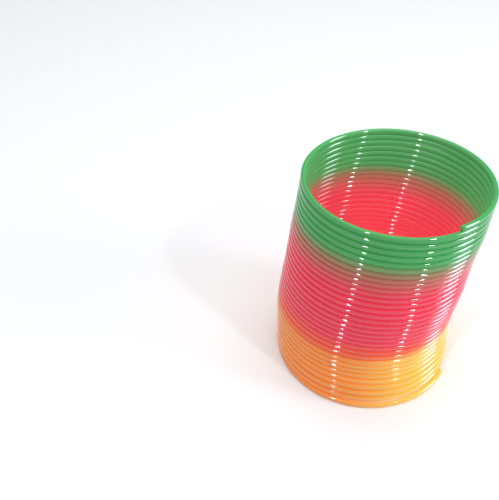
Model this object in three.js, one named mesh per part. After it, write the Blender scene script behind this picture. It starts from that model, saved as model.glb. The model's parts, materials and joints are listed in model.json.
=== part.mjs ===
// A spring coil toy: one flat-sided plastic strand wound into a closed left-handed coil.
// Millimetres, +Z up. The origin is on the table, in the middle of the coil's outline.
//
// The strand is one piece that works by twisting. It is divided where it crosses the left
// and right sides of the coil into half turns, so that each half turn can twist on the next.
// The lowest turns and the highest turns stay whole, as the two ends that the coil stands on.

import * as THREE from 'three';

// Driving dimensions.
const coilDiameter = 70;
const strandWidth = 1.9;
const strandHeight = 1.9;
const flatShare = 0.62;
const turnPitch = 2.265;
const turnCount = 33.09;

// The strand starts at the coil's front right, and runs clockwise as it climbs.
const startAzimuth = THREE.MathUtils.degToRad(-32);

// The first half turn lies flat on the table, and the climb then catches up with the pitch.
// The turns above it climb in the same way, less and less.
const flatShareOfTurn = 0.5;
const flatness = { from: 0.9, to: 6 };

// The lowest turns and the two highest ones stand slightly apart.
const lowerSpread = { from: 0.6, to: 3.8, rise: 0.8 };
const upperSpread = { from: 30.9, to: 32.5, rise: 0.35 };

// The cut end of the lowest turn springs outwards.
const endFlare = { turns: 0.45, outwards: 1.2 };

// The closed turns stand a little askew: the lowest ones stick out at the front, and the
// stack leans back and to the right above them, and wanders. Its turns tilt the way it leans,
// and the top turn tilts a little more.
const foot = { from: 0.8, to: 6.2, back: 2.4 };
const lean = { right: 8, back: 6, rightFrom: 8 };
const wander = { from: 8.25, turns: 11, back: 0.45 };
const tilt = { towards: THREE.MathUtils.degToRad(45), stack: 0.8, topTurn: 0.35 };

// The strand turns over into the next half turn at these junctions, counted in half turns.
const firstJunction = 4;
const lastJunction = 62;
const junctionGap = 0.3;
const stepsPerTurn = 24;

const centreRadius = (coilDiameter - strandWidth) / 2;

// Colours of the three runs of the strand, by the turn that each begins at.
const colourRuns = [
  { from: 0, colour: 0xf7a63c },
  { from: 10.5, colour: 0xf4405f },
  { from: 26, colour: 0x45b654 },
];

/** How much of a turn's rise is done, at a share of the way round it from the front right. */
function riseInTurn(shareOfTurn) {
  const catchUpShare = 1 - flatShareOfTurn;
  const share = Math.max(shareOfTurn - flatShareOfTurn, 0) / catchUpShare;
  // A cubic that leaves the level and meets the steady climb at its height and slope.
  return (3 - 2 * share) * share ** 2 + catchUpShare * (share - 1) * share ** 2;
}

/** Height of the strand's middle above the table, at a number of turns from its lower end. */
function heightAt(turn) {
  const shareOfTurn = turn - Math.floor(turn);
  const flat = 1 - THREE.MathUtils.smoothstep(turn, flatness.from, flatness.to);
  const climb = turn - flat * (shareOfTurn - riseInTurn(shareOfTurn));
  const lower = lowerSpread.rise * THREE.MathUtils.smoothstep(turn, lowerSpread.from, lowerSpread.to);
  const topShare = THREE.MathUtils.smoothstep(turn, upperSpread.from, upperSpread.to);
  const tiltShare = Math.max(turn - 1, 0) / (turnCount - 1);
  const tiltDown = Math.cos(azimuthAt(turn) - tilt.towards);
  const tilted = -tiltDown * (tilt.stack * tiltShare + tilt.topTurn * topShare);
  return strandHeight / 2 + turnPitch * climb + lower + upperSpread.rise * topShare + tilted;
}

/** The middle of the circle that the strand is following at this place. */
function centreAt(turn) {
  const right = (lean.right * Math.max(turn - lean.rightFrom, 0)) / (turnCount - lean.rightFrom);
  const footBack = foot.back * THREE.MathUtils.smoothstep(turn, foot.from, foot.to);
  const wandered = (2 * Math.PI * Math.max(turn - wander.from, 0)) / wander.turns;
  const back = footBack + (lean.back * turn) / turnCount + wander.back * Math.sin(wandered);
  return new THREE.Vector2(right - lean.right / 2, back - (lean.back + foot.back) / 2);
}

/** Radius of the strand's middle line. */
function radiusAt(turn) {
  return centreRadius + endFlare.outwards * (1 - THREE.MathUtils.smoothstep(turn, 0, endFlare.turns));
}

/** Azimuth of the strand, which falls as it climbs. */
function azimuthAt(turn) {
  return startAzimuth - 2 * Math.PI * turn;
}

/** A point of the strand, from its offsets outwards and upwards from the middle line. */
function strandPoint(turn, outwards, upwards) {
  const centre = centreAt(turn);
  const radius = radiusAt(turn) + outwards;
  const azimuth = azimuthAt(turn);
  return new THREE.Vector3(
    centre.x + radius * Math.cos(azimuth),
    centre.y + radius * Math.sin(azimuth),
    heightAt(turn) + upwards,
  );
}

/** The section: flat above and below, with its sides drawn out to a blunt point. */
const section = [
  [strandWidth / 2, 0],
  [(strandWidth / 2) * flatShare, strandHeight / 2],
  [(-strandWidth / 2) * flatShare, strandHeight / 2],
  [-strandWidth / 2, 0],
  [(-strandWidth / 2) * flatShare, -strandHeight / 2],
  [(strandWidth / 2) * flatShare, -strandHeight / 2],
];

/** The closed solid of the strand between two places along it, in turns. */
function strandGeometry(from, to) {
  const steps = Math.round((to - from) * stepsPerTurn);
  const sides = section.length;
  const positions = [];
  const triangles = [];
  for (let i = 0; i <= steps; i += 1) {
    const turn = from + ((to - from) * i) / steps;
    for (const [outwards, upwards] of section) {
      positions.push(...strandPoint(turn, outwards, upwards));
    }
  }
  for (let i = 0; i < steps; i += 1) {
    for (let j = 0; j < sides; j += 1) {
      const here = i * sides + j;
      const beside = i * sides + ((j + 1) % sides);
      triangles.push(here, beside, here + sides);
      triangles.push(beside, beside + sides, here + sides);
    }
  }
  const last = steps * sides;
  for (let j = 1; j < sides - 1; j += 1) {
    triangles.push(0, j + 1, j);
    triangles.push(last, last + j, last + j + 1);
  }
  const geometry = new THREE.BufferGeometry();
  geometry.setAttribute('position', new THREE.Float32BufferAttribute(positions, 3));
  geometry.setIndex(triangles);
  geometry.computeVertexNormals();
  return geometry;
}

/** Glossy, slightly clear plastic in the colour of the run that this place is in. */
function strandMaterial(turn) {
  const run = colourRuns.findLast((each) => turn >= each.from);
  return new THREE.MeshStandardMaterial({ color: run.colour, roughness: 0.25, metalness: 0 });
}

/** One named stretch of the strand. */
function strandMesh(name, from, to) {
  const mesh = new THREE.Mesh(strandGeometry(from, to), strandMaterial((from + to) / 2));
  mesh.name = name;
  return mesh;
}

/** How many turns from the lower end a junction is: evens are at the right, odds at the left. */
function junctionAt(index) {
  return index / 2 + startAzimuth / (2 * Math.PI);
}

const halfGap = junctionGap / 2 / (2 * Math.PI * centreRadius);
const coil = new THREE.Group();

coil.add(strandMesh('lower_end_turns', 0, junctionAt(firstJunction) - halfGap));
for (let index = firstJunction; index < lastJunction; index += 1) {
  const turn = String(Math.floor((index - firstJunction) / 2) + 1).padStart(2, '0');
  const side = (index - firstJunction) % 2 === 0 ? 'front' : 'back';
  const from = junctionAt(index) + halfGap;
  const to = junctionAt(index + 1) - halfGap;
  coil.add(strandMesh(`turn_${turn}_${side}`, from, to));
}
coil.add(strandMesh('upper_end_turns', junctionAt(lastJunction) + halfGap, turnCount));

export default coil;
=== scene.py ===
"""A spring coil toy: a glossy plastic strand in three colour runs, closed, on a pale table.

The strand is drawn in stretches that each lie across one of the frame's hinges.
Metres, +Z up, in the frame's own axes.
"""

import json
import math

import bpy
from mathutils import Matrix, Vector

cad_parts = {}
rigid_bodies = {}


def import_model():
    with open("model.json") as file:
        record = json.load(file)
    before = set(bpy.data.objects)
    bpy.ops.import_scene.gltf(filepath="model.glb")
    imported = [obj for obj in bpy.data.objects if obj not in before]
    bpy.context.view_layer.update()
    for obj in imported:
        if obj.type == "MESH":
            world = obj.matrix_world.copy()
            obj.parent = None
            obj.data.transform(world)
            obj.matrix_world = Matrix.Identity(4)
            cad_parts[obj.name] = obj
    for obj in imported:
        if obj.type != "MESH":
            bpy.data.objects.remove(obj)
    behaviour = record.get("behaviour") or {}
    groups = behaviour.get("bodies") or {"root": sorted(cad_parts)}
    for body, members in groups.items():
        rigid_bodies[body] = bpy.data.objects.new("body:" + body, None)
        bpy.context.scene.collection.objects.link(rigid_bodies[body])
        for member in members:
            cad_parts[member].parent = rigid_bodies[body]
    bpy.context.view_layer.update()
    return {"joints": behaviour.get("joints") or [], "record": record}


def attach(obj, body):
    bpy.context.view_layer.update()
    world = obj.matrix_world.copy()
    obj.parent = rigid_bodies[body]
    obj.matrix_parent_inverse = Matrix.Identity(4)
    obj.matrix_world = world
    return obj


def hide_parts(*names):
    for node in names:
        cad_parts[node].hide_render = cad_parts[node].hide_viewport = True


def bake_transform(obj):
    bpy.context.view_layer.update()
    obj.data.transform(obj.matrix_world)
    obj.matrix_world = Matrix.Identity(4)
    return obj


bl_info = {
    "name": "Spring Coil Toy",
    "version": (1, 0, 0),
    "blender": (4, 5, 0),
    "location": "3D View > Sidebar > Coil Toy",
    "description": "A closed coil of one glossy plastic strand, with its table and lights",
    "category": "Add Mesh",
}

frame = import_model()
RECORD = frame["record"]

# The strand's course, the same as in the frame. Turns are counted up from the lower end, and
# a pair of them gives where a change begins and where it is complete.
START_AZIMUTH = math.radians(-32)
FLAT_SHARE_OF_TURN = 0.5
FLATNESS = (0.9, 6)
LOWER_SPREAD = (0.6, 3.8)
UPPER_SPREAD = (30.9, 32.5)
FLARE_TURNS = 0.45
FOOT_TURNS = (0.8, 6.2)
LEAN_RIGHT_FROM = 8
WANDER_FROM = 8.25
WANDER_TURNS = 11
TILT_TOWARDS = math.radians(45)

# The strand strays from a circle in waves: lobes a turn, drift a turn and start, in radians.
STRAY_WAVES = ((3, 1.7, 0.0), (5, -2.9, 1.1))

# The frame's hinges, counted in half turns. Each bend of the strand reaches a quarter turn
# to either side of its hinge.
FIRST_JUNCTION = 4
LAST_JUNCTION = 62
QUARTER_TURN = 0.25

# The section at a cut end: share of the rounding's length, and share of the full section.
END_PROFILE = ((0.0, 0.62), (0.12, 0.82), (0.4, 0.95), (1.0, 1.0))

# Turns over which the strand's upper side comes free of the highest turn, where that ends.
UNCOVERING_TURNS = 0.03

# Edges sharper than this are shaded as edges, which leaves only those of the cut ends.
SHARP_ANGLE = math.radians(50)

# Where each colour comes in, in turns from the turn that the colour's property gives.
RED_ORANGE_BORDER = (-3.8, -1.9)
PINK_BORDER = (-2.0, 1.0)
BROWN_BORDER = (-5.0, 0.4)
GREEN_BORDER = (-0.8, 2.2)

# How the borders go up and down around the coil, in turns: the lowest run reaches higher at
# the right, by a slope and as much again by a curve, and the highest run reaches lower at the
# right and at the back.
LOWER_RUN_AT_RIGHT = 0.5
UPPER_RUN_AT_RIGHT = 0.4
UPPER_RUN_AT_BACK = 0.75

# Where orange passes into yellow, from -1 at the left to 1 at the right. At the foot it does
# so further to the left, and that moves back to the right with each turn.
YELLOW_BORDER = (-0.5, 0.65)
YELLOW_BORDER_AT_FOOT = (-0.75, 0.65)
YELLOW_SHIFT_PER_TURN = 0.35

# Streaks and clouding: how often the streaks change in a turn, and across the strand, how much
# they count against the clouding, and the darkest and the brightest tint.
STREAK_STRETCH = (9.0, 1.0, 1.0)
STREAK_TINT = 0.4
TINT = (0.93, 1.05)

# The glow is painted light: an emission that stands for light inside the plastic. There is some
# all over, and more on the inside of the strand and in the grooves. The sides of the section are
# at -1 and 1.
GLOW = 0.37
GLOW_ALL_OVER = 0.3
GLOW_INSIDE = 0.75
GLOW_IN_GROOVES = 0.4
GLOW_PALENESS = (0.06, 0.06, 0.06)
INSIDE_BORDER = (0.3, -0.7)
GROOVE_BORDER = (0.3, 0.95)

# The polish begins and ends at these heights up the section. Streaks and scuffs dull it.
POLISH_BEGINS = (0.15, 0.40)
POLISH_ENDS = (0.91, 0.82)
ROUGHNESS = 0.04
STREAK_ROUGHNESS = 0.03
SCUFF_ROUGHNESS = 0.05
SCUFF_BORDER = (0.56, 0.72)
SPECKLE_SCALE = 900.0
SPECKLE_BUMP = 0.3

# The stage. The camera looks along +Y, turned down and rolled a little to the right.
TABLE_REACH = 3
ROOM_COLOUR = (0.96, 0.98, 1.0)
COOL_WHITE = (0.90, 0.95, 1.0)
WINDOW_BLUE = (0.84, 0.86, 1.0)
LIGHTS_AIM_HEIGHT = 0.045
CAMERA_PLACE = (-0.05007, -0.19145, 0.21467)
CAMERA_DOWN = math.radians(41.12)
CAMERA_ROLL = math.radians(-1.163)


class CoilSizes(bpy.types.PropertyGroup):
    """Sizes of the strand and of the coil that it is wound into."""

    coil_diameter: bpy.props.FloatProperty(
        name="Coil diameter", description="Across the outside of the coil",
        default=0.070, unit="LENGTH",
    )
    turn_count: bpy.props.FloatProperty(
        name="Turns", description="Number of turns from end to end", default=33.09,
    )
    turn_pitch: bpy.props.FloatProperty(
        name="Pitch", description="Rise of the closed coil in one turn",
        default=0.002265, unit="LENGTH",
    )
    strand_width: bpy.props.FloatProperty(
        name="Strand width", description="Across the strand, from inside to outside",
        default=0.0019, unit="LENGTH",
    )
    strand_height: bpy.props.FloatProperty(
        name="Strand height", description="Up the strand, on a side where no turn lies on it",
        default=0.00222, unit="LENGTH",
    )
    turn_gap: bpy.props.FloatProperty(
        name="Gap between turns", description="Between one turn and the next, closed",
        default=0.00004, unit="LENGTH",
    )
    squareness: bpy.props.FloatProperty(
        name="Squareness", description="2 is an oval section, and more is squarer", default=2.25,
    )
    end_rounding: bpy.props.FloatProperty(
        name="End rounding", description="How far back from a cut end its edge is rounded",
        default=0.0003, unit="LENGTH",
    )
    lean_right: bpy.props.FloatProperty(
        name="Lean right", description="How far the closed coil leans to the right",
        default=0.008, unit="LENGTH",
    )
    lean_back: bpy.props.FloatProperty(
        name="Lean back", description="How far the closed coil leans back",
        default=0.006, unit="LENGTH",
    )
    foot_back: bpy.props.FloatProperty(
        name="Foot", description="How far the lowest turns stick out at the front",
        default=0.0024, unit="LENGTH",
    )
    end_flare: bpy.props.FloatProperty(
        name="Lower end flare", description="How far the lower cut end springs outwards",
        default=0.0012, unit="LENGTH",
    )
    end_gap: bpy.props.FloatProperty(
        name="Lower end gap", description="How far the lower cut end hangs off the turn above it",
        default=0.0004, unit="LENGTH",
    )
    lower_spread: bpy.props.FloatProperty(
        name="Lower spread", description="How far the lowest turns stand apart",
        default=0.0008, unit="LENGTH",
    )
    upper_spread: bpy.props.FloatProperty(
        name="Upper spread", description="How far the highest turns stand apart",
        default=0.00035, unit="LENGTH",
    )
    wander: bpy.props.FloatProperty(
        name="Wander", description="How far the stack strays back and forth as it leans",
        default=0.00045, unit="LENGTH",
    )
    stack_tilt: bpy.props.FloatProperty(
        name="Stack tilt", description="How far the turns sink on the side that they lean to",
        default=0.0008, unit="LENGTH",
    )
    top_tilt: bpy.props.FloatProperty(
        name="Top tilt", description="How much further the top turn sinks on that side",
        default=0.00035, unit="LENGTH",
    )
    unevenness: bpy.props.FloatProperty(
        name="Unevenness", description="How far the strand strays from a true circle",
        default=0.00005, unit="LENGTH",
    )
    steps_per_turn: bpy.props.IntProperty(
        name="Steps per turn", description="Fineness of the mesh along the strand", default=144,
    )
    section_points: bpy.props.IntProperty(
        name="Section points", description="Fineness of the mesh around the strand", default=20,
    )


class CoilColours(bpy.types.PropertyGroup):
    """Colours of the strand's runs, and the turns where one passes into the next."""

    orange: bpy.props.FloatVectorProperty(
        name="Orange", description="Lowest run, at the left and the front",
        subtype="COLOR", size=3, default=(0.80, 0.235, 0.026),
    )
    yellow: bpy.props.FloatVectorProperty(
        name="Yellow", description="Lowest run, at the right",
        subtype="COLOR", size=3, default=(0.82, 0.50, 0.066),
    )
    red_orange: bpy.props.FloatVectorProperty(
        name="Red orange", description="Where the lowest run passes into pink",
        subtype="COLOR", size=3, default=(0.76, 0.080, 0.030),
    )
    pink: bpy.props.FloatVectorProperty(
        name="Pink red", description="Middle run",
        subtype="COLOR", size=3, default=(0.74, 0.026, 0.066),
    )
    brown: bpy.props.FloatVectorProperty(
        name="Brown", description="Where pink passes into green",
        subtype="COLOR", size=3, default=(0.34, 0.13, 0.070),
    )
    green: bpy.props.FloatVectorProperty(
        name="Green", description="Highest run",
        subtype="COLOR", size=3, default=(0.040, 0.31, 0.072),
    )
    pink_from: bpy.props.FloatProperty(
        name="Pink from", description="Turn where the lowest run has mostly passed into pink",
        default=11.6,
    )
    green_from: bpy.props.FloatProperty(
        name="Green from", description="Turn where brown begins to pass into green",
        default=25.35,
    )


class CoilStage(bpy.types.PropertyGroup):
    """The table, the lights and the camera."""

    table_colour: bpy.props.FloatVectorProperty(
        name="Table", description="Plain pale table", subtype="COLOR", size=3,
        default=(0.90, 0.90, 0.90),
    )
    sky: bpy.props.FloatProperty(
        name="Room light", description="Strength of the even light of the room", default=0.35,
    )
    lens: bpy.props.FloatProperty(
        name="Lens", description="Focal length of the camera in millimetres", default=47.7,
    )


class Wire:
    """An output socket in a node tree. Arithmetic on wires adds Math nodes."""

    def __init__(self, nodes, socket):
        self.nodes = nodes
        self.socket = socket

    def __add__(self, other):
        return self.nodes.maths("ADD", self, other)

    def __radd__(self, other):
        return self.nodes.maths("ADD", other, self)

    def __sub__(self, other):
        return self.nodes.maths("SUBTRACT", self, other)

    def __rsub__(self, other):
        return self.nodes.maths("SUBTRACT", other, self)

    def __mul__(self, other):
        return self.nodes.maths("MULTIPLY", self, other)

    def __rmul__(self, other):
        return self.nodes.maths("MULTIPLY", other, self)


class Nodes:
    """Adds nodes to one material."""

    def __init__(self, material):
        self.tree = material.node_tree

    def add(self, kind, settings=None, inputs=None, output=0):
        """A node of this type. Its settings are set first, then its sockets' values or links."""
        node = self.tree.nodes.new(kind)
        for name, value in (settings or {}).items():
            setattr(node, name, value)
        for key, value in (inputs or {}).items():
            socket = node.inputs[key]
            if isinstance(value, Wire):
                self.tree.links.new(value.socket, socket)
            else:
                socket.default_value = value
        return Wire(self, node.outputs[output]) if len(node.outputs) else None

    def maths(self, operation, *values):
        return self.add("ShaderNodeMath", {"operation": operation}, dict(enumerate(values)))

    def attribute(self, name):
        """The vector that the mesh's points store under this name."""
        return self.add("ShaderNodeAttribute", {"attribute_name": name}, output="Vector")

    def part(self, vector, axis):
        """The X, Y or Z of a vector."""
        return self.add("ShaderNodeSeparateXYZ", None, {"Vector": vector}, output=axis)

    def scaled(self, vector, share):
        return self.add(
            "ShaderNodeVectorMath", {"operation": "SCALE"}, {0: vector, "Scale": share},
        )

    def rise(self, value, start, end):
        """0 before start, 1 after end, and smooth between them."""
        return self.add(
            "ShaderNodeMapRange", {"interpolation_type": "SMOOTHSTEP"},
            {"Value": value, "From Min": start, "From Max": end},
        )

    def blend(self, share, colour_a, colour_b):
        """From colour_a at share 0 to colour_b at share 1."""
        return self.add(
            "ShaderNodeMix", {"data_type": "RGBA"}, {0: share, 6: colour_a, 7: colour_b}, output=2,
        )

    def noise(self, place, scale, detail=2.0, roughness=0.5):
        return self.add(
            "ShaderNodeTexNoise", None,
            {"Vector": place, "Scale": scale, "Detail": detail, "Roughness": roughness},
        )


def opaque(colour):
    return (*colour, 1.0)


def border(turn, around):
    """Where a colour begins and ends to come in, around a turn."""
    return turn + around[0], turn + around[1]


def smoothstep(value, start, end):
    share = min(max((value - start) / (end - start), 0.0), 1.0)
    return share * share * (3 - 2 * share)


def rise_in_turn(share_of_turn):
    """How much of a turn's rise is done, at a share of the way round it from the front right."""
    catch_up = 1 - FLAT_SHARE_OF_TURN
    share = max(share_of_turn - FLAT_SHARE_OF_TURN, 0.0) / catch_up
    return (3 - 2 * share) * share**2 + catch_up * (share - 1) * share**2


def height_at(sizes, turn):
    """Height of the strand's middle above the table."""
    share_of_turn = turn - math.floor(turn)
    flat = 1 - smoothstep(turn, *FLATNESS)
    climb = turn - flat * (share_of_turn - rise_in_turn(share_of_turn))
    lower = sizes.lower_spread * smoothstep(turn, *LOWER_SPREAD)
    top_share = smoothstep(turn, *UPPER_SPREAD)
    tilt_share = max(turn - 1, 0.0) / (sizes.turn_count - 1)
    tilt = sizes.stack_tilt * tilt_share + sizes.top_tilt * top_share
    tilted = -math.cos(azimuth_at(turn) - TILT_TOWARDS) * tilt
    height = sizes.strand_height / 2 + sizes.turn_pitch * climb
    return height + lower + sizes.upper_spread * top_share + tilted


def centre_at(sizes, turn):
    """Middle of the circle that the strand is following at this place."""
    leaning = max(turn - LEAN_RIGHT_FROM, 0.0) / (sizes.turn_count - LEAN_RIGHT_FROM)
    right = sizes.lean_right * (leaning - 0.5)
    back = sizes.foot_back * (smoothstep(turn, *FOOT_TURNS) - 0.5)
    wandered = 2 * math.pi * max(turn - WANDER_FROM, 0.0) / WANDER_TURNS
    back += sizes.wander * math.sin(wandered)
    return right, back + sizes.lean_back * (turn / sizes.turn_count - 0.5)


def radius_at(sizes, turn):
    """Radius of the strand's middle line, a little uneven from turn to turn."""
    azimuth = azimuth_at(turn)
    stray = sum(
        math.sin(lobes * azimuth + drift * turn + start) for lobes, drift, start in STRAY_WAVES
    )
    flare = sizes.end_flare * (1 - smoothstep(turn, 0, FLARE_TURNS))
    return (sizes.coil_diameter - sizes.strand_width) / 2 + flare + sizes.unevenness * stray / 2


def azimuth_at(turn):
    """Azimuth of the strand, which falls as it climbs."""
    return START_AZIMUTH - 2 * math.pi * turn


def junction_at(index):
    """Turn of a junction: evens are at the right side, odds at the left."""
    return index / 2 + START_AZIMUTH / (2 * math.pi)


def section_points(sizes):
    """Outline of the strand's section, from -1 to 1 outwards and upwards."""
    points = []
    for i in range(sizes.section_points):
        angle = 2 * math.pi * (i + 0.5) / sizes.section_points
        outwards = math.copysign(abs(math.cos(angle)) ** (2 / sizes.squareness), math.cos(angle))
        upwards = math.copysign(abs(math.sin(angle)) ** (2 / sizes.squareness), math.sin(angle))
        points.append((outwards, upwards))
    return points


def gap_above(sizes, turn):
    """Between this place and the turn above it."""
    return sizes.turn_gap + sizes.end_gap * (1 - smoothstep(turn, 0, FLARE_TURNS))


def half_heights(sizes, turn):
    """How far the strand reaches down to the turn below it, and up to the turn above it."""
    free = sizes.strand_height / 2
    height = height_at(sizes, turn)
    if turn >= 1:
        down = (height - height_at(sizes, turn - 1) - gap_above(sizes, turn - 1)) / 2
    else:
        down = free
    above = height_at(sizes, min(turn, sizes.turn_count - 1) + 1)
    up = (above - height - gap_above(sizes, turn)) / 2
    last_covered = sizes.turn_count - 1
    covered = 1 - smoothstep(turn, last_covered - UNCOVERING_TURNS, last_covered)
    return down, free + (up - free) * covered


def ring_turns(sizes, start, end, rounded_start, rounded_end):
    """Places of the rings along a stretch, with the scale of the section at each."""
    steps = max(round((end - start) * sizes.steps_per_turn), 2)
    rings = [(start + (end - start) * i / steps, 1.0) for i in range(steps + 1)]
    rounding = sizes.end_rounding / (math.pi * sizes.coil_diameter)
    if rounded_start:
        rings[:1] = [(start + rounding * share, scale) for share, scale in END_PROFILE]
    if rounded_end:
        rings[-1:] = [(end - rounding * share, scale) for share, scale in reversed(END_PROFILE)]
    return rings


def strand_mesh(name, sizes, start, end, rounded_start=False, rounded_end=False):
    """A closed stretch of the strand between two turns, with its place stored for the material."""
    outline = section_points(sizes)
    sides = len(outline)
    rings = ring_turns(sizes, start, end, rounded_start, rounded_end)
    vertices, places, compass = [], [], []
    for turn, scale in rings:
        x, y = centre_at(sizes, turn)
        z = height_at(sizes, turn)
        radius = radius_at(sizes, turn)
        azimuth = azimuth_at(turn)
        down, up = half_heights(sizes, turn)
        for outwards, upwards in outline:
            reach = radius + scale * outwards * sizes.strand_width / 2
            height = z + scale * upwards * (up if upwards > 0 else down)
            vertices.append((x + reach * math.cos(azimuth), y + reach * math.sin(azimuth), height))
            places.append((turn, outwards, upwards))
            compass.append((math.cos(azimuth), math.sin(azimuth), 0.0))
    faces = []
    for i in range(len(rings) - 1):
        for j in range(sides):
            here, beside = i * sides + j, i * sides + (j + 1) % sides
            faces.append((here, beside, beside + sides, here + sides))
    last = (len(rings) - 1) * sides
    faces.append(tuple(reversed(range(sides))))
    faces.append(tuple(range(last, last + sides)))
    mesh = bpy.data.meshes.new(name)
    mesh.from_pydata(vertices, [], faces)
    mesh.update()
    mesh.polygons.foreach_set("use_smooth", [len(face) == 4 for face in faces])
    mesh.set_sharp_from_angle(angle=SHARP_ANGLE)
    for stored, values in (("strand_place", places), ("strand_compass", compass)):
        attribute = mesh.attributes.new(stored, "FLOAT_VECTOR", "POINT")
        attribute.data.foreach_set("vector", [number for value in values for number in value])
    mesh.update()
    return mesh


def strand_piece(name, sizes, start, end, slot, **rounded):
    """One stretch of the strand as an object with its plastic."""
    piece = bpy.data.objects.new(name, strand_mesh(name, sizes, start, end, **rounded))
    bpy.context.scene.collection.objects.link(piece)
    piece.data.materials.append(strand_plastic())
    return piece


def slot_of(node):
    """The record's material slot of a frame node."""
    return next(part["material_slot"] for part in RECORD["subparts"] if part["node"] == node)


def strand_plastic():
    """Glossy plastic, coloured by how far along the strand it is, with painted light for its
    clearness.
    """
    found = bpy.data.materials.get("strand_plastic")
    if found:
        return found
    colours = bpy.context.scene.coil_colours
    material = bpy.data.materials.new("strand_plastic")
    material.use_nodes = True
    material.node_tree.nodes.clear()
    nodes = Nodes(material)
    place = nodes.attribute("strand_place")
    compass = nodes.attribute("strand_compass")
    turn, outwards, upwards = (nodes.part(place, axis) for axis in "XYZ")
    rightwards, backwards = (nodes.part(compass, axis) for axis in "XY")

    # The lowest run reaches higher at the right, and is yellow at the right and along the turn
    # that it stands on. The highest run reaches lower at the right and at the back.
    lower = turn - rightwards * LOWER_RUN_AT_RIGHT - rightwards * rightwards * LOWER_RUN_AT_RIGHT
    upper = turn + rightwards * UPPER_RUN_AT_RIGHT + backwards * UPPER_RUN_AT_BACK
    yellowness = nodes.maths(
        "MAXIMUM",
        nodes.rise(rightwards - turn * YELLOW_SHIFT_PER_TURN, *YELLOW_BORDER_AT_FOOT),
        nodes.rise(rightwards, *YELLOW_BORDER),
    )
    run = nodes.blend(yellowness, opaque(colours.orange), opaque(colours.yellow))
    for place_in_run, turn_given, around, colour in (
        (lower, colours.pink_from, RED_ORANGE_BORDER, colours.red_orange),
        (lower, colours.pink_from, PINK_BORDER, colours.pink),
        (upper, colours.green_from, BROWN_BORDER, colours.brown),
        (upper, colours.green_from, GREEN_BORDER, colours.green),
    ):
        share = nodes.rise(place_in_run, *border(turn_given, around))
        run = nodes.blend(share, run, opaque(colour))

    # Drawn streaks run along the strand; clouding is broad.
    along = nodes.add(
        "ShaderNodeVectorMath", {"operation": "MULTIPLY"}, {0: place, 1: STREAK_STRETCH},
    )
    streaks = nodes.noise(along, scale=3.0, detail=3.0, roughness=0.6)
    clouding = nodes.noise(along, scale=0.7)
    tint = nodes.add(
        "ShaderNodeMapRange", None,
        {"Value": clouding + streaks * STREAK_TINT, "From Min": 0.4, "From Max": 1.0,
         "To Min": TINT[0], "To Max": TINT[1]},
    )
    tinted = nodes.scaled(run, tint)

    # Painted light: an emission in the strand's own colour stands in for light that comes through
    # the plastic, most of all to its inside and into the grooves.
    inner = nodes.rise(outwards, *INSIDE_BORDER) * GLOW_INSIDE + GLOW_ALL_OVER
    in_groove = nodes.rise(upwards * upwards, *GROOVE_BORDER)
    groove = in_groove * GLOW_IN_GROOVES + GLOW_ALL_OVER
    painted_light_colour = nodes.add(
        "ShaderNodeVectorMath", {"operation": "ADD"}, {0: tinted, 1: GLOW_PALENESS},
    )
    painted_glow = nodes.scaled(painted_light_colour, nodes.maths("MAXIMUM", inner, groove))

    # The upper faces are polished, but not the grooves, and handling dulls them a little.
    polish = nodes.rise(upwards, *POLISH_BEGINS) * nodes.rise(upwards, *POLISH_ENDS)
    in_object = nodes.add("ShaderNodeTexCoord", output="Object")
    speckle = nodes.noise(in_object, SPECKLE_SCALE, detail=4.0, roughness=0.7)
    scuffs = nodes.rise(speckle, *SCUFF_BORDER)
    roughness = ROUGHNESS + streaks * STREAK_ROUGHNESS + scuffs * SCUFF_ROUGHNESS
    bump = nodes.add(
        "ShaderNodeBump", None,
        {"Strength": 0.04, "Distance": 0.00005, "Height": streaks + speckle * SPECKLE_BUMP},
    )
    surface = nodes.add(
        "ShaderNodeBsdfPrincipled", None,
        {
            "Base Color": tinted,
            # Painted light: the strand emits its glow, though it is no lamp.
            "Emission Color": painted_glow,
            "Emission Strength": GLOW,
            "Roughness": roughness,
            "Normal": bump,
            "IOR": 1.3,
            "Coat Weight": polish,
            "Coat IOR": 2.0,
            "Coat Roughness": 0.03,
        },
    )
    nodes.add("ShaderNodeOutputMaterial", None, {"Surface": surface})
    return material


class COIL_OT_ends(bpy.types.Operator):
    """Draws the two ends of the strand, which the coil stands on"""

    bl_idname = "coil.ends"
    bl_label = "Strand ends"

    def execute(self, context):
        sizes = context.scene.coil_sizes
        first_bend = junction_at(FIRST_JUNCTION) - QUARTER_TURN
        slot = slot_of("lower_end_turns")
        lower = strand_piece("strand_lower_end", sizes, 0.0, first_bend, slot, rounded_start=True)
        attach(lower, "lower_end_turns")
        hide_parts("lower_end_turns")
        last_bend = junction_at(LAST_JUNCTION) + QUARTER_TURN
        slot = slot_of("upper_end_turns")
        upper = strand_piece(
            "strand_upper_end", sizes, last_bend, sizes.turn_count, slot, rounded_end=True,
        )
        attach(upper, "upper_end_turns")
        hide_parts("upper_end_turns")
        return {"FINISHED"}


class COIL_OT_bends(bpy.types.Operator):
    """Draws the stretches of the strand that lie across the hinges at the left and the right"""

    bl_idname = "coil.bends"
    bl_label = "Strand bends"

    def execute(self, context):
        sizes = context.scene.coil_sizes
        for index in range(FIRST_JUNCTION, LAST_JUNCTION + 1):
            joint = frame["joints"][index - FIRST_JUNCTION]
            below, above = joint["parent"], joint["child"]
            side = "right" if index % 2 == 0 else "left"
            number = (index - FIRST_JUNCTION) // 2 + 1
            middle = junction_at(index)
            start, end = middle - QUARTER_TURN, middle + QUARTER_TURN
            piece = strand_piece(
                f"strand_{side}_{number:02d}", sizes, start, end, slot_of(above),
            )
            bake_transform(piece)
            if above != "upper_end_turns":
                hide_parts(above)
        return {"FINISHED"}


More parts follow.
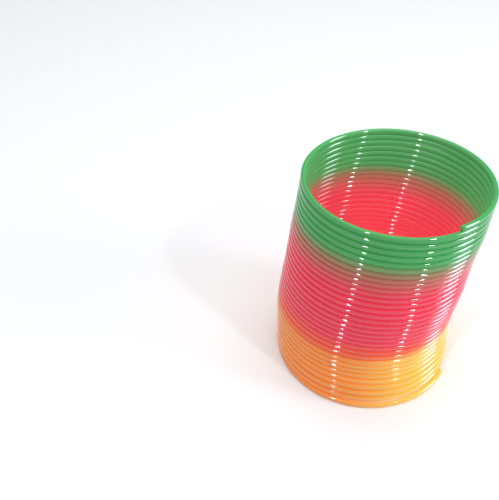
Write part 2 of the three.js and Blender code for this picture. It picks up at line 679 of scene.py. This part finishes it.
def area_light(name, azimuth, elevation, distance, size, watts, colour=(1.0, 1.0, 1.0)):
    """A soft rectangular light that faces the coil, a little above its middle."""
    light = bpy.data.lights.new(name, "AREA")
    light.shape = "RECTANGLE"
    light.size, light.size_y = size
    light.energy = watts
    light.color = colour
    lamp = bpy.data.objects.new(name, light)
    bpy.context.scene.collection.objects.link(lamp)
    flat = math.cos(math.radians(elevation))
    towards = Vector((
        flat * math.cos(math.radians(azimuth)),
        flat * math.sin(math.radians(azimuth)),
        math.sin(math.radians(elevation)),
    ))
    lamp.location = Vector((0, 0, LIGHTS_AIM_HEIGHT)) + towards * distance
    lamp.rotation_euler = towards.to_track_quat("Z", "Y").to_euler()


class COIL_OT_stage(bpy.types.Operator):
    """Sets the pale table, the soft lights and the camera"""

    bl_idname = "coil.stage"
    bl_label = "Stage"

    def execute(self, context):
        settings = context.scene.coil_stage
        mesh = bpy.data.meshes.new("table")
        corners = [(-1, -1), (1, -1), (1, 1), (-1, 1)]
        vertices = [(x * TABLE_REACH, y * TABLE_REACH, 0) for x, y in corners]
        mesh.from_pydata(vertices, [], [(0, 1, 2, 3)])
        table = bpy.data.objects.new("table", mesh)
        context.scene.collection.objects.link(table)
        material = bpy.data.materials.new("pale_table")
        material.use_nodes = True
        material.node_tree.nodes.clear()
        nodes = Nodes(material)
        surface = nodes.add(
            "ShaderNodeBsdfPrincipled", None,
            {"Base Color": opaque(settings.table_colour), "Roughness": 0.7},
        )
        nodes.add("ShaderNodeOutputMaterial", None, {"Surface": surface})
        mesh.materials.append(material)

        world = bpy.data.worlds.new("room")
        world.use_nodes = True
        background = world.node_tree.nodes["Background"]
        background.inputs["Color"].default_value = opaque(ROOM_COLOUR)
        background.inputs["Strength"].default_value = settings.sky
        context.scene.world = world

        area_light(
            "ceiling_light", azimuth=80, elevation=76, distance=1.20, size=(1.1, 1.1), watts=10.5,
        )
        area_light(
            "front_left_light", azimuth=-128, elevation=47, distance=0.80,
            size=(0.045, 0.06), watts=1.3, colour=COOL_WHITE,
        )
        area_light(
            "front_right_light", azimuth=-45, elevation=47, distance=0.55,
            size=(0.04, 0.05), watts=0.55, colour=COOL_WHITE,
        )
        area_light(
            "window_light", azimuth=-14, elevation=17, distance=0.60,
            size=(0.18, 0.40), watts=2.0, colour=WINDOW_BLUE,
        )

        camera = bpy.data.cameras.new("camera")
        camera.lens = settings.lens
        camera.sensor_width = 36
        camera.clip_start = 0.01
        holder = bpy.data.objects.new("camera", camera)
        context.scene.collection.objects.link(holder)
        forward = Vector((0, math.cos(CAMERA_DOWN), -math.sin(CAMERA_DOWN)))
        level = Vector((1, 0, 0))
        rise = level.cross(forward)
        right = level * math.cos(CAMERA_ROLL) + rise * math.sin(CAMERA_ROLL)
        up = rise * math.cos(CAMERA_ROLL) - level * math.sin(CAMERA_ROLL)
        turned = Matrix((right, up, -forward)).transposed().to_4x4()
        holder.matrix_world = Matrix.Translation(CAMERA_PLACE) @ turned
        context.scene.camera = holder
        context.scene.view_settings.view_transform = "Standard"
        return {"FINISHED"}


class COIL_PT_panel(bpy.types.Panel):
    """Coil toy"""

    bl_idname = "COIL_PT_panel"
    bl_label = "Coil Toy"
    bl_space_type = "VIEW_3D"
    bl_region_type = "UI"
    bl_category = "Coil Toy"

    def draw(self, context):
        scene = context.scene
        for group in (scene.coil_sizes, scene.coil_colours, scene.coil_stage):
            for name in group.__annotations__:
                self.layout.prop(group, name)
        for operator in ("coil.ends", "coil.bends", "coil.stage"):
            self.layout.operator(operator)


CLASSES = (
    CoilSizes, CoilColours, CoilStage, COIL_OT_ends, COIL_OT_bends, COIL_OT_stage, COIL_PT_panel,
)


def register():
    for each in CLASSES:
        bpy.utils.register_class(each)
    bpy.types.Scene.coil_sizes = bpy.props.PointerProperty(type=CoilSizes)
    bpy.types.Scene.coil_colours = bpy.props.PointerProperty(type=CoilColours)
    bpy.types.Scene.coil_stage = bpy.props.PointerProperty(type=CoilStage)


def unregister():
    del bpy.types.Scene.coil_stage
    del bpy.types.Scene.coil_colours
    del bpy.types.Scene.coil_sizes
    for each in reversed(CLASSES):
        bpy.utils.unregister_class(each)


def main():
    register()
    bpy.ops.coil.ends()
    bpy.ops.coil.bends()
    bpy.ops.coil.stage()


if __name__ == "__main__":
    main()
